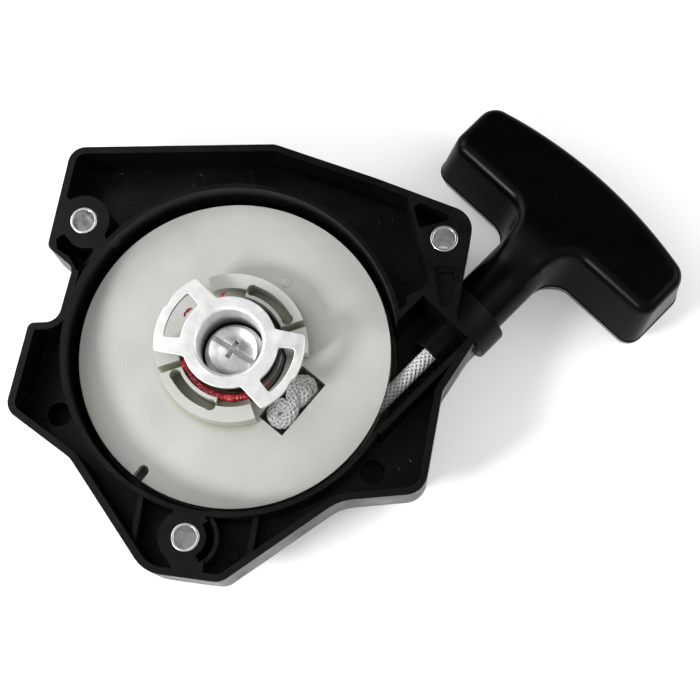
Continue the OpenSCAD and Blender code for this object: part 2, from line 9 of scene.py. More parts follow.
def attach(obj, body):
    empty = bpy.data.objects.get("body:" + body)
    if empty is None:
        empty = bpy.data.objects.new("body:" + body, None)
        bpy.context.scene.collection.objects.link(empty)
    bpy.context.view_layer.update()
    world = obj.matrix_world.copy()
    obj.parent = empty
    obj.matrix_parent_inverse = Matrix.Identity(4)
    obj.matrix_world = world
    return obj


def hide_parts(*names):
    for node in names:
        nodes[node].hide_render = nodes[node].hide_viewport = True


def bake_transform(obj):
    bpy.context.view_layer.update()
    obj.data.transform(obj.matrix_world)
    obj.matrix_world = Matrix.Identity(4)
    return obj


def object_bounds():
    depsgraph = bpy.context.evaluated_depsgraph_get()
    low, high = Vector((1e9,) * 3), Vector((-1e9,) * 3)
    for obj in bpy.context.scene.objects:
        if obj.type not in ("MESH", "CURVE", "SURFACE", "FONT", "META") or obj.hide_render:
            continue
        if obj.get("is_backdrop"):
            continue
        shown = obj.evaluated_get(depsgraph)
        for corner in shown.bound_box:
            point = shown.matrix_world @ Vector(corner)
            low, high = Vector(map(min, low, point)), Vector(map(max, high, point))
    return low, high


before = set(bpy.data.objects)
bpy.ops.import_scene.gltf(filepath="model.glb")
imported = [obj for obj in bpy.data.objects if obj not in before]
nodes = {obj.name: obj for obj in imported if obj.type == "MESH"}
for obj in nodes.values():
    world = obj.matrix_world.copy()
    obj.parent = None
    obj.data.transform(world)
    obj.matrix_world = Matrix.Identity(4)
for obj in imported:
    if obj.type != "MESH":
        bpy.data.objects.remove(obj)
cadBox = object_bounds()
mm = 0.001


def addNode(tree, kind, inputs=None, **settings):
    node = tree.nodes.new(kind)
    for key, value in settings.items():
        setattr(node, key, value)
    for key, value in (inputs or {}).items():
        if isinstance(value, bpy.types.NodeSocket):
            tree.links.new(value, node.inputs[key])
        else:
            node.inputs[key].default_value = value
    return node


def startMaterial(name, surface):
    material = bpy.data.materials.new(name)
    material.use_nodes = True
    tree = material.node_tree
    shader = tree.nodes["Principled BSDF"]
    for key, value in surface.items():
        shader.inputs[key].default_value = value
    place = addNode(tree, "ShaderNodeTexCoord").outputs["Object"]
    return material, tree, shader, place


def noiseField(tree, place, scale, detail=4.0, roughness=0.55, stretch=None):
    if stretch:
        place = addNode(tree, "ShaderNodeMapping", {"Vector": place, "Scale": stretch}).outputs["Vector"]
    return addNode(tree, "ShaderNodeTexNoise", {
        "Vector": place, "Scale": scale, "Detail": detail, "Roughness": roughness}).outputs["Fac"]


def spread(tree, field, low, high, fromLow=0.3, fromHigh=0.7):
    return addNode(tree, "ShaderNodeMapRange", {
        "Value": field, "From Min": fromLow, "From Max": fromHigh, "To Min": low, "To Max": high}).outputs["Result"]


def mixColours(tree, field, first, second):
    mixer = addNode(tree, "ShaderNodeMix", data_type="RGBA")
    if isinstance(field, bpy.types.NodeSocket):
        tree.links.new(field, mixer.inputs[0])
    else:
        mixer.inputs[0].default_value = field
    for slot, colour in ((6, first), (7, second)):
        if isinstance(colour, bpy.types.NodeSocket):
            tree.links.new(colour, mixer.inputs[slot])
        else:
            mixer.inputs[slot].default_value = (*colour, 1)
    return mixer.outputs[2]


def addBump(tree, shader, height, distance, strength=1.0):
    bump = addNode(tree, "ShaderNodeBump", {"Height": height, "Distance": distance, "Strength": strength})
    earlier = shader.inputs["Normal"].links
    if earlier:
        tree.links.new(earlier[0].from_socket, bump.inputs["Normal"])
    tree.links.new(bump.outputs["Normal"], shader.inputs["Normal"])


plastics = {
    "housingNylon": {
        "dark": (0.0012, 0.0012, 0.0013), "pale": (0.0034, 0.0034, 0.0036), "rough": (0.26, 0.42),
        "grain": 2600, "grainDepth": 0.00003, "flow": 38, "dust": 0.02, "specular": 0.17},
    "guideNylon": {
        "dark": (0.0018, 0.0018, 0.002), "pale": (0.004, 0.004, 0.0043), "rough": (0.28, 0.4),
        "grain": 2200, "grainDepth": 0.00002, "flow": 60, "dust": 0.01, "specular": 0.1},
    "gripPlastic": {
        "dark": (0.0006, 0.0006, 0.0007), "pale": (0.0012, 0.0012, 0.0013), "rough": (0.24, 0.31),
        "grain": 3000, "grainDepth": 0.00001, "flow": 24, "dust": 0.003, "specular": 0.08},
}


def makePlastic(name):
    look = plastics[name]
    material, tree, shader, place = startMaterial(name, {"Specular IOR Level": look["specular"]})
    flow = noiseField(tree, place, look["flow"], 5)
    colour = mixColours(tree, spread(tree, flow, 0, 1), look["dark"], look["pale"])
    specks = noiseField(tree, place, 900, 2)  # a few pale specks of dust and glass fibre
    dust = spread(tree, specks, 0, look["dust"], 0.66, 0.78)
    colour = mixColours(tree, dust, colour, (0.35, 0.35, 0.34))
    tree.links.new(colour, shader.inputs["Base Color"])
    rub = noiseField(tree, place, 120, 6, stretch=(1, 1.6, 1))
    tree.links.new(spread(tree, rub, *look["rough"]), shader.inputs["Roughness"])
    addBump(tree, shader, noiseField(tree, place, look["grain"], 3), look["grainDepth"])
    addBump(tree, shader, noiseField(tree, place, look["flow"] * 5, 3), 0.00006, 0.5)
    return material


def makeReelNylon():
    material, tree, shader, place = startMaterial("reelNylon", {
        "Subsurface Weight": 0.25, "Subsurface Radius": (1.0, 1.0, 0.8), "Subsurface Scale": 0.0022,
        "Specular IOR Level": 0.5})
    cloud = noiseField(tree, place, 45, 5)
    colour = mixColours(tree, spread(tree, cloud, 0, 1), (0.42, 0.425, 0.395), (0.50, 0.505, 0.48))
    apart = addNode(tree, "ShaderNodeSeparateXYZ", {"Vector": place}).outputs
    # painted shade: the colour turns olive towards the reel's deeper levels, where shade falls in its recesses
    depth = spread(tree, apart["Z"], 0.5, 0, -0.0145, -0.0078)
    colour = mixColours(tree, depth, colour, (0.30, 0.32, 0.21))
    creviceShade = addNode(tree, "ShaderNodeAmbientOcclusion", {"Distance": 0.0028}, samples=8).outputs["AO"]
    corners = spread(tree, creviceShade, 0.85, 0, 0.3, 0.85)  # painted shade: olive in the corners, from ambient occlusion
    colour = mixColours(tree, corners, colour, (0.24, 0.26, 0.13))
    stain = spread(tree, noiseField(tree, place, 210, 3), 0, 0.3, 0.62, 0.75)
    colour = mixColours(tree, stain, colour, (0.38, 0.39, 0.33))
    tree.links.new(colour, shader.inputs["Base Color"])
    tree.links.new(spread(tree, noiseField(tree, place, 160, 5), 0.32, 0.46), shader.inputs["Roughness"])
    flat = addNode(tree, "ShaderNodeCombineXYZ", {"X": apart["X"], "Y": apart["Y"]}).outputs["Vector"]
    turning = addNode(tree, "ShaderNodeTexWave", {
        "Vector": flat, "Scale": 340, "Distortion": 0.6, "Detail": 2, "Detail Scale": 2},
        wave_type="RINGS", rings_direction="SPHERICAL").outputs["Fac"]
    addBump(tree, shader, turning, 0.000012, 0.6)
    addBump(tree, shader, noiseField(tree, place, 70, 4), 0.00016, 0.5)
    return material


# the catcher and the screw get painted shade in their hollows, by ambient occlusion out to the given distance
metals = {
    "catcherSteel": {"dark": (0.80, 0.80, 0.80), "pale": (0.95, 0.95, 0.945), "rough": (0.4, 0.52), "creviceShade": 0.0045,
                     "grain": 1900, "grainDepth": 0.000012, "stretch": (1, 1, 1)},
    "sleeveSteel": {"dark": (0.50, 0.50, 0.49), "pale": (0.86, 0.86, 0.85), "rough": (0.2, 0.38),
                    "grain": 900, "grainDepth": 0.00001, "stretch": (1, 1, 0.15)},
    "screwSteel": {"dark": (0.62, 0.61, 0.60), "pale": (0.90, 0.89, 0.88), "rough": (0.24, 0.38), "creviceShade": 0.0012,
                   "grain": 700, "grainDepth": 0.00001, "stretch": (1, 1, 1)},
    "washerZinc": {"dark": (0.42, 0.42, 0.42), "pale": (0.68, 0.68, 0.67), "rough": (0.3, 0.5),
                   "grain": 1200, "grainDepth": 0.00001, "stretch": (1, 1, 1)},
    "eyeletSteel": {"dark": (0.45, 0.45, 0.44), "pale": (0.70, 0.70, 0.69), "rough": (0.2, 0.34),
                    "grain": 900, "grainDepth": 0.000006, "stretch": (1, 1, 0.2)},
    # painted shade: the case steel is made nearly black so the gap between the reel and the drum shows dark
    "caseSteel": {"dark": (0.018, 0.018, 0.02), "pale": (0.05, 0.05, 0.054), "rough": (0.4, 0.6),
                  "grain": 1200, "grainDepth": 0.00001, "stretch": (1, 1, 1)},
    "springSteel": {"dark": (0.06, 0.08, 0.14), "pale": (0.26, 0.27, 0.32), "rough": (0.22, 0.36),
                    "grain": 1500, "grainDepth": 0.000006, "stretch": (1, 1, 0.1)},
    "insertBrass": {"dark": (0.42, 0.28, 0.09), "pale": (0.74, 0.56, 0.26), "rough": (0.22, 0.38),
                    "grain": 900, "grainDepth": 0.000008, "stretch": (1, 1, 0.1)},
}


def makeMetal(name):
    look = metals[name]
    material, tree, shader, place = startMaterial(name, {"Metallic": 1.0})
    cloud = noiseField(tree, place, 160, 6, 0.65)
    colour = mixColours(tree, spread(tree, cloud, 0, 1, 0.35, 0.6), look["dark"], look["pale"])
    pits = spread(tree, noiseField(tree, place, 1400, 2), 0, 0.35, 0.68, 0.76)
    colour = mixColours(tree, pits, colour, (0.12, 0.115, 0.11))
    if "creviceShade" in look:  # painted shade where the metal is hemmed in, darkened by ambient occlusion
        creviceShade = addNode(tree, "ShaderNodeAmbientOcclusion", {"Distance": look["creviceShade"]}, samples=8).outputs["AO"]
        colour = mixColours(tree, spread(tree, creviceShade, 0.95, 0, 0.25, 0.8), colour, (0.05, 0.05, 0.05))
    tree.links.new(colour, shader.inputs["Base Color"])
    scuff = noiseField(tree, place, 420, 6, stretch=look["stretch"])
    tree.links.new(spread(tree, scuff, *look["rough"]), shader.inputs["Roughness"])
    addBump(tree, shader, noiseField(tree, place, look["grain"], 4, stretch=look["stretch"]), look["grainDepth"])
    return material


def makeRopeBraid(name, pale, shadow, rough, strandShadeStrength, crinkle):
    material, tree, shader, place = startMaterial(name, {"Sheen Weight": 0.25, "Specular IOR Level": 0.5})
    fibres = noiseField(tree, place, 3800, 3)
    colour = mixColours(tree, spread(tree, fibres, 0, 1), shadow, pale)
    dirt = spread(tree, noiseField(tree, place, 260, 4), 0, 0.35, 0.55, 0.8)
    colour = mixColours(tree, dirt, colour, tuple(0.7 * part for part in shadow))
    creviceShade = addNode(tree, "ShaderNodeAmbientOcclusion", {"Distance": 0.0009}, samples=8).outputs["AO"]
    strandShade = spread(tree, creviceShade, strandShadeStrength, 0, 0.35, 0.8)  # painted shade between the strands, from ambient occlusion
    colour = mixColours(tree, strandShade, colour, (0.07, 0.07, 0.066))
    tree.links.new(colour, shader.inputs["Base Color"])
    tree.links.new(spread(tree, fibres, *rough), shader.inputs["Roughness"])
    addBump(tree, shader, fibres, 0.00008, 0.8)
    addBump(tree, shader, noiseField(tree, place, 800, 3), crinkle)
    return material


def makeGreasedSteel():
    material, tree, shader, place = startMaterial("greasedSpring", {"Coat Weight": 0.6, "Coat Roughness": 0.08})
    cover = spread(tree, noiseField(tree, place, 330, 4), 0, 1, 0.36, 0.5)
    lean = addNode(tree, "ShaderNodeVectorMath", {0: place, 1: (-0.42, -0.91, 0)}, operation="DOT_PRODUCT")
    side = spread(tree, lean.outputs["Value"], 0, 1, 0.003, 0.007)  # the grease lies on one side of the spring
    cover = addNode(tree, "ShaderNodeMath", {0: cover, 1: side}, operation="MULTIPLY").outputs["Value"]
    tree.links.new(mixColours(tree, cover, (0.10, 0.10, 0.10), (0.45, 0.006, 0.014)), shader.inputs["Base Color"])
    tree.links.new(spread(tree, cover, 0.3, 0.16, 0, 1), shader.inputs["Roughness"])
    tree.links.new(spread(tree, cover, 0.9, 0.0, 0, 1), shader.inputs["Metallic"])
    addBump(tree, shader, noiseField(tree, place, 700, 4), 0.0002)
    return material


def makeGrease():
    material, tree, shader, place = startMaterial("redGrease", {
        "Coat Weight": 0.8, "Coat Roughness": 0.05, "Subsurface Weight": 0.3,
        "Subsurface Radius": (1.0, 0.2, 0.2), "Subsurface Scale": 0.0006})
    thick = noiseField(tree, place, 420, 4)
    tree.links.new(mixColours(tree, spread(tree, thick, 0, 1), (0.30, 0.002, 0.008), (0.55, 0.02, 0.035)),
                   shader.inputs["Base Color"])
    tree.links.new(spread(tree, thick, 0.12, 0.32), shader.inputs["Roughness"])
    addBump(tree, shader, noiseField(tree, place, 900, 4), 0.00025)
    return material


def makeBearingNylon():
    material, tree, shader, place = startMaterial("bearingNylon", {"Specular IOR Level": 0.4})
    cloud = noiseField(tree, place, 300, 4)
    tree.links.new(mixColours(tree, spread(tree, cloud, 0, 1), (0.50, 0.46, 0.36), (0.62, 0.58, 0.48)),
                   shader.inputs["Base Color"])
    tree.links.new(spread(tree, cloud, 0.35, 0.5), shader.inputs["Roughness"])
    addBump(tree, shader, noiseField(tree, place, 1500, 3), 0.00001)
    return material


def makeFloorPaper():
    material, tree, shader, place = startMaterial("floorPaper", {"Specular IOR Level": 0.15})
    cloud = noiseField(tree, place, 6, 4)
    tree.links.new(mixColours(tree, spread(tree, cloud, 0, 1), (0.90, 0.90, 0.90), (0.93, 0.93, 0.93)),
                   shader.inputs["Base Color"])
    shader.inputs["Roughness"].default_value = 0.9
    shader.inputs["Emission Color"].default_value = (1, 1, 1, 1)
    shader.inputs["Emission Strength"].default_value = 0.22  # a light table under the paper
    addBump(tree, shader, noiseField(tree, place, 900, 3), 0.00004, 0.4)
    return material


finishes = {name: makePlastic(name) for name in plastics}
finishes.update({name: makeMetal(name) for name in metals})
finishes["reelNylon"] = makeReelNylon()
finishes["ropeBraid"] = makeRopeBraid("ropeBraid", (0.86, 0.86, 0.84), (0.50, 0.50, 0.48), (0.45, 0.7), 0.95,
                                      0.00002)
finishes["knotNylon"] = makeRopeBraid("knotNylon", (0.62, 0.62, 0.60), (0.24, 0.24, 0.23), (0.14, 0.3), 0.4,
                                      0.0005)
finishes["greasedSpring"] = makeGreasedSteel()
finishes["redGrease"] = makeGrease()
finishes["bearingNylon"] = makeBearingNylon()
finishes["floorPaper"] = makeFloorPaper()
print("materials:", len(finishes))


def linked(name, data):
    made = bpy.data.objects.new(name, data)
    bpy.context.scene.collection.objects.link(made)
    return made


def evaluatedMesh(made):  # what a curve, or a mesh with a modifier, comes to
    bpy.context.view_layer.update()
    mesh = bpy.data.meshes.new_from_object(made.evaluated_get(bpy.context.evaluated_depsgraph_get()))
    bpy.data.objects.remove(made)
    return mesh


def meshFromCurve(name, curve):
    mesh = evaluatedMesh(linked(name + "Curve", curve))
    bpy.data.curves.remove(curve)
    for polygon in mesh.polygons:
        polygon.use_smooth = True
    return mesh


def placePiece(name, mesh, body, finish, slot, stands=()):
    piece = linked(name, mesh)
    mesh.materials.clear()
    mesh.materials.append(finishes[finish])
    if body:
        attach(piece, body)
    if stands:
        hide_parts(*stands)
    return piece


def meshFrom(bm, name, sharpAngle=35):  # with 0 no edge is marked sharp
    mesh = bpy.data.meshes.new(name)
    bm.to_mesh(mesh)
    bm.free()
    for polygon in mesh.polygons:
        polygon.use_smooth = True
    if sharpAngle:
        mesh.set_sharp_from_angle(angle=math.radians(sharpAngle))
    return mesh


def mergedCopy(node):
    bm = bmesh.new()
    bm.from_mesh(nodes[node].data)
    bmesh.ops.remove_doubles(bm, verts=bm.verts, dist=0.002 * mm)
    bmesh.ops.dissolve_limit(bm, angle_limit=math.radians(0.05), verts=bm.verts, edges=bm.edges,
                             use_dissolve_boundaries=False)
    return bm


def softenEdges(piece, width, segments=2, angle=32):
    bevel = piece.modifiers.new("edges", "BEVEL")
    bevel.width = width * mm
    bevel.segments = segments
    bevel.limit_method = "ANGLE"
    bevel.angle_limit = math.radians(angle)
    bevel.use_clamp_overlap = True
    normals = piece.modifiers.new("normals", "WEIGHTED_NORMAL")
    normals.keep_sharp = True
    return piece


softened = {
    # node: body, finish, slot, edge width in mm
    "housing_shell": ("housing", "housingNylon", "housing_nylon", 0.22),
    "mount_sleeves": ("housing", "sleeveSteel", "sleeve_steel", 0.25),
    "rope_guide": ("housing", "guideNylon", "guide_nylon", 0.6),
    "guide_eyelet": ("housing", "eyeletSteel", "eyelet_steel", 0.15),
    "spring_case": ("housing", "caseSteel", "case_steel", 0.15),
    "spring_cover": ("housing", "caseSteel", "case_steel", 0.15),
    "post_insert": ("housing", "insertBrass", "insert_brass", 0.1),
    "post_bush": ("housing", "eyeletSteel", "eyelet_steel", 0.1),
    "post_washer": ("housing", "washerZinc", "washer_zinc", 0.15),
    "lock_washer": ("housing", "washerZinc", "washer_zinc", 0.1),
    "post_screw": ("housing", "screwSteel", "screw_steel", 0.2),
    "rope_reel": ("reel", "reelNylon", "reel_nylon", 0.3),
    "reel_bush": ("reel", "insertBrass", "insert_brass", 0.1),
    "catcher_bearing": ("catcher", "bearingNylon", "bearing_nylon", 0.1),
    "grip_screws": ("handle", "washerZinc", "washer_zinc", 0.2),
    "rope_retainer": ("handle", "washerZinc", "washer_zinc", 0.2),
}
for node, (body, finish, slot, width) in softened.items():
    bm = mergedCopy(node)
    piece = placePiece(node + "_body", meshFrom(bm, node + "_body", 0), body, finish, slot, [node])
    softenEdges(piece, width)
nodes["recoil_spring"].data.materials.clear()
nodes["recoil_spring"].data.materials.append(finishes["springSteel"])
print("softened pieces:", len(softened))

catcher = {
    "cup": 8.0, "sheet": 1.3, "lip": 1.0, "floor": -12.4, "top": 3.5, "bearing": 7.45, "ring": 11.6, "lug": 18.6,
    "lugTurns": (151.7, -29.5), "lugHalf": 34.5, "sideIn": (8.1, 8.25), "windowIn": 12.1, "windowOut": 16.3,
    "windowHalf": 22.5, "notch": 0.5, "round": 0.17}


def turned(point, degrees):
    angle = math.radians(degrees)
    return (point[0] * math.cos(angle) - point[1] * math.sin(angle),
            point[0] * math.sin(angle) + point[1] * math.cos(angle))


def roundedLoop(corners, steps=5):  # corners are x, y and how far the round reaches along each side
    points = []
    for i, (x, y, reach) in enumerate(corners):
        here = Vector((x, y))
        if not reach:
            points.append((x, y))
            continue
        before = here + (Vector(corners[i - 1][:2]) - here).normalized() * reach
        after = here + (Vector(corners[(i + 1) % len(corners)][:2]) - here).normalized() * reach
        for k in range(steps + 1):
            t = k / steps
            point = before * (1 - t) ** 2 + here * 2 * t * (1 - t) + after * t * t
            points.append((point.x, point.y))
    return points


def arc(radius, start, end, count):
    return [(radius * math.cos(math.radians(start + (end - start) * k / count)),
             radius * math.sin(math.radians(start + (end - start) * k / count))) for k in range(count + 1)]


def lugEdge():
    inner = math.degrees(math.atan2(catcher["sideIn"][1], catcher["sideIn"][0]))
    outer = [(min(x, catcher["lug"] - catcher["notch"]) if y < 0 else x, y, 0)
             for x, y in arc(catcher["lug"], -catcher["lugHalf"] + 2.5, catcher["lugHalf"] - 2.5, 22)]
    corner = [(*arc(catcher["lug"], side * catcher["lugHalf"], 0, 1)[0], 0.7) for side in (-1, 1)]
    foot = [(*arc(catcher["ring"], side * inner, 0, 1)[0], 0.5) for side in (-1, 1)]
    return inner, [foot[0], corner[0]] + outer + [corner[1], foot[1]]


def flatPlate(name, loops, z, thick, bevel):
    curve = bpy.data.curves.new(name, "CURVE")
    curve.dimensions = "2D"
    curve.fill_mode = "BOTH"
    curve.extrude = (thick / 2 - bevel) * mm
    curve.bevel_depth = bevel * mm
    curve.bevel_resolution = 2
    curve.offset = -bevel * mm
    for loop in loops:
        spline = curve.splines.new("POLY")
        spline.points.add(len(loop) - 1)
        for point, (x, y) in zip(spline.points, loop):
            point.co = (x * mm, y * mm, 0, 1)
        spline.use_cyclic_u = True
    mesh = meshFromCurve(name, curve)
    mesh.transform(Matrix.Translation((0, 0, (z + thick / 2) * mm)))
    return mesh


inner, edge = lugEdge()
outline = []
for turn, following in ((catcher["lugTurns"][1], catcher["lugTurns"][0]),
                        (catcher["lugTurns"][0], catcher["lugTurns"][1] + 360)):
    outline += [(*turned((x, y), turn), reach) for x, y, reach in edge]
    outline += [(x, y, 0) for x, y in arc(catcher["ring"], turn + inner + 3, following - inner - 3, 26)]
windowIn, windowOut, windowHalf = catcher["windowIn"], catcher["windowOut"], catcher["windowHalf"]
windowEdge = ([(x, y, 0) for x, y in arc(windowIn, 4 - windowHalf, windowHalf - 4, 10)]
              + [(*arc(windowIn, windowHalf, 0, 1)[0], 0.7)]
              + [(*arc(windowOut, windowHalf, 0, 1)[0], 0.9)]
              + [(x, y, 0) for x, y in arc(windowOut, windowHalf - 4, 4 - windowHalf, 12)]
              + [(*arc(windowOut, -windowHalf, 0, 1)[0], 0.9)]
              + [(*arc(windowIn, -windowHalf, 0, 1)[0], 0.7)])
windows = [[turned(point, turn) for point in roundedLoop(windowEdge)] for turn in catcher["lugTurns"]]
plate = flatPlate("catcher_plate", [roundedLoop(outline)] + windows + [arc(9.0, 0, 360 - 360 / 90, 89)],
                  catcher["top"] - catcher["sheet"], catcher["sheet"], catcher["round"])
plate.set_sharp_from_angle(angle=math.radians(50))

bm = bmesh.new()
bm.from_mesh(plate)
cup, lip, sheet, top = catcher["cup"], catcher["lip"], catcher["sheet"], catcher["top"]
profile = [(catcher["bearing"], catcher["floor"] + sheet), (cup - 0.5, catcher["floor"] + sheet)]
profile += [(cup - 0.5 + 0.5 * math.sin(t), catcher["floor"] + sheet + 0.5 - 0.5 * math.cos(t))
            for t in [math.radians(90 * k / 4) for k in range(1, 5)]]
profile += [(cup + lip - lip * math.cos(t), top + 0.02 - lip + lip * math.sin(t))
            for t in [math.radians(90 * k / 10) for k in range(11)]]
profile += [(cup + lip + 0.5, top - 0.06), (cup + lip + 0.55, top - 0.4), (cup + sheet, top - sheet - 0.4)]
profile += [(cup + sheet, catcher["floor"] + 0.9), (cup + sheet - 0.3, catcher["floor"] + 0.25),
            (cup + sheet - 0.9, catcher["floor"]), (catcher["bearing"], catcher["floor"])]
ringVerts = [bm.verts.new((r * mm, 0, z * mm)) for r, z in profile]
ringEdges = [bm.edges.new((a, b)) for a, b in zip(ringVerts, ringVerts[1:] + ringVerts[:1])]
bmesh.ops.spin(bm, geom=ringVerts + ringEdges, cent=(0, 0, 0), axis=(0, 0, 1), angle=2 * math.pi, steps=96,
               use_merge=True)
bmesh.ops.recalc_face_normals(bm, faces=bm.faces)
placePiece("catcher_body", meshFrom(bm, "catcher_body", 48), "catcher", "catcherSteel", "catcher_steel",
           ["pawl_catcher"])
print("catcher ready")

pull = {"radius": 34.5, "height": -13.0, "heading": math.radians(45)}  # the rope leaves the reel's rim here
pullDirection = Vector((math.cos(pull["heading"]), math.sin(pull["heading"]), 0))
leftward = Vector((-pullDirection.y, pullDirection.x, 0))
upward = Vector((0, 0, 1))
pullFoot = upward * pull["height"] - leftward * pull["radius"]


def alongPull(a):  # the place a millimetres along the pull
    return pullFoot + pullDirection * a


braid = {"radius": 2.0, "carriers": 8, "pitch": 13.0, "strand": 0.46, "wave": 0.2, "core": 1.42}


def braidedRope(name, centre, across, up, phase, count, sides=1, thick=1.0):
    # centre(i) is the place of step i, across(i) and up(i) its frame, phase(i) the length of rope up to it
    curve = bpy.data.curves.new(name, "CURVE")
    curve.dimensions = "3D"
    curve.bevel_depth = braid["strand"] * thick * mm
    curve.bevel_resolution = sides
    curve.use_fill_caps = True
    middle = braid["radius"] - braid["strand"] - braid["wave"] * 0.4
    for turn in (1, -1):
        for carrier in range(braid["carriers"]):
            spline = curve.splines.new("POLY")
            spline.points.add(count - 1)
            for i in range(count):
                run = 2 * math.pi * phase(i) / braid["pitch"]
                angle = turn * run + 2 * math.pi * carrier / braid["carriers"]
                out = thick * (middle + turn * braid["wave"] * math.cos(braid["carriers"] * run))
                place = centre(i) + (across(i) * math.cos(angle) + up(i) * math.sin(angle)) * out
                spline.points[i].co = (*(place * mm), 1)
    spline = curve.splines.new("POLY")
    spline.points.add(count - 1)
    for i in range(count):
        spline.points[i].co = (*(centre(i) * mm), 1)
        spline.points[i].radius = braid["core"] / braid["strand"]
    return meshFromCurve(name, curve)


rope = {"runStart": 15.0, "runEnd": 44.0, "seat": 47.4, "tailEnd": 75.8, "travel": 520.0, "step": 0.3}

runCount = int((rope["runEnd"] - rope["runStart"]) / rope["step"]) + 1
runMesh = braidedRope(
    "rope_run_braid", lambda i: alongPull(rope["runStart"] + i * rope["step"]),
    lambda i: leftward, lambda i: upward, lambda i: i * rope["step"], runCount)
placePiece("rope_run_braid", runMesh, "housing", "ropeBraid", "rope_braid", ["rope_run"])

drawCount = 900  # rings of the length that comes out of the guide when the handle is pulled


def drawPlace(i):
    return rope["runEnd"] + (rope["seat"] - rope["runEnd"]) * i / (drawCount - 1)


def drawnLength(i):
    share = i / (drawCount - 1)
    return drawPlace(i) + rope["travel"] * share * share * (3 - 2 * share)


drawMesh = braidedRope(
    "rope_drawn", lambda i: alongPull(drawPlace(i)), lambda i: leftward, lambda i: upward,
    lambda i: drawnLength(i) - rope["runStart"], drawCount, sides=0)
drawn = placePiece("rope_drawn", drawMesh, None, "ropeBraid", "rope_braid")
alongPull(rope["runEnd"]) * mm
alongPull(rope["seat"]) * mm
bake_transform(drawn)

tailCount = int((rope["tailEnd"] - rope["seat"]) / rope["step"]) + 1
tailMesh = braidedRope(
    "rope_tail_braid", lambda i: alongPull(rope["seat"] + i * rope["step"]), lambda i: leftward,
    lambda i: upward, lambda i: rope["seat"] + i * rope["step"], tailCount)
placePiece("rope_tail_braid", tailMesh, "handle", "ropeBraid", "rope_braid", ["rope_tail"])

winding = {"start": pull["heading"] - math.pi / 2, "layer": 4.0, "jump": 0.14, "turns": 2.93, "step": 0.7, "tangent": 14.0}


def windingRadius(turns):
    radius = pull["radius"]
    for layer in (1, 2):
        share = min(max((turns - (layer - 0.07) + winding["jump"] / 2) / winding["jump"], 0), 1)
        radius -= winding["layer"] * share * share * (3 - 2 * share)
    return radius


windingLength = winding["tangent"] + 2 * math.pi * 31 * winding["turns"]
windingCount = int(windingLength / winding["step"])


def windingTurned(i):
    wound = max(i * winding["step"] - winding["tangent"], 0)
    return winding["turns"] * wound / (windingLength - winding["tangent"])


def windingCentre(i):
    if i * winding["step"] < winding["tangent"]:
        return alongPull(winding["tangent"] - i * winding["step"])
    angle = winding["start"] - 2 * math.pi * windingTurned(i)
    radius = windingRadius(windingTurned(i))
    return Vector((radius * math.cos(angle), radius * math.sin(angle), pullFoot.z))


def windingOut(i):
    angle = winding["start"] - 2 * math.pi * windingTurned(i)
    return Vector((math.cos(angle), math.sin(angle), 0))


windingMesh = braidedRope(
    "rope_winding_braid", windingCentre, windingOut, lambda i: upward,
    lambda i: i * winding["step"], windingCount, sides=0)
placePiece("rope_winding_braid", windingMesh, "reel", "ropeBraid", "rope_braid", ["rope_winding"])
print("rope: run", runCount, "drawn", drawCount, "winding", windingCount)

knots = {
    # node: turn about Z in degrees, thickness, chosen points of the rope's centre
    "rope_knot": {"turn": -40, "at": (0, 0, 0), "thick": 0.94, "body": "reel", "points": [
        (19.4, 0.6, -13.4), (20.9, 2.8, -11.2), (20.8, 5.0, -9.6), (19.2, 5.9, -8.6), (17.6, 4.7, -8.0),
        (17.8, 2.6, -7.5), (19.3, 0.3, -7.2), (20.9, -2.4, -7.6), (21.0, -4.9, -8.4), (19.4, -6.3, -8.9),
        (17.6, -5.2, -8.8), (17.5, -3.0, -8.0), (19.2, -1.6, -7.7), (20.4, 0.9, -8.2), (20.4, 3.3, -7.7),
        (19.2, 4.1, -7.9), (18.9, 3.0, -9.6), (19.4, -2.0, -10.0), (19.3, -4.4, -8.4)]},
    "grip_knot": {"turn": 45, "at": tuple(pullFoot), "thick": 0.86, "body": "handle", "points": [
        (75.9, 0, 0), (77.6, 1.4, 0.8), (80.0, 2.0, 1.6), (82.2, 0.6, 1.7), (82.6, -1.6, 0.2), (80.6, -2.2, -1.5),
        (78.4, -0.8, -2.1), (78.0, 1.4, -1.2), (79.6, 1.9, 0.4), (81.8, 0.4, -0.4), (83.6, 0.2, -0.8),
        (85.2, 0.6, -0.9)]},
}


knotStep = 0.22  # along the rope


def smoothPath(points, step):
    dense = []
    ends = [points[0] * 2 - points[1]] + points + [points[-1] * 2 - points[-2]]
    for i in range(1, len(ends) - 2):
        a, b, c, d = ends[i - 1:i + 3]
        for k in range(24):
            t = k / 24
            dense.append(0.5 * (2 * b + (c - a) * t + (2 * a - 5 * b + 4 * c - d) * t * t
                                + (3 * b - a - 3 * c + d) * t * t * t))
    dense.append(points[-1])
    places, left = [dense[0]], step
    for a, b in zip(dense, dense[1:]):
        length = (b - a).length
        while length >= left:
            a = a.lerp(b, left / length)
            places.append(a)
            length = (b - a).length
            left = step
        left -= length
    return places


def carriedFrame(places):
    across = [Vector((0, 0, 1)).cross(places[1] - places[0]).normalized()]
    up = [(places[1] - places[0]).cross(across[0]).normalized()]
    for i in range(1, len(places)):
        along = (places[min(i + 1, len(places) - 1)] - places[i - 1]).normalized()
        side = (across[-1] - along * across[-1].dot(along)).normalized()
        across.append(side)
        up.append(along.cross(side).normalized())
    return across, up


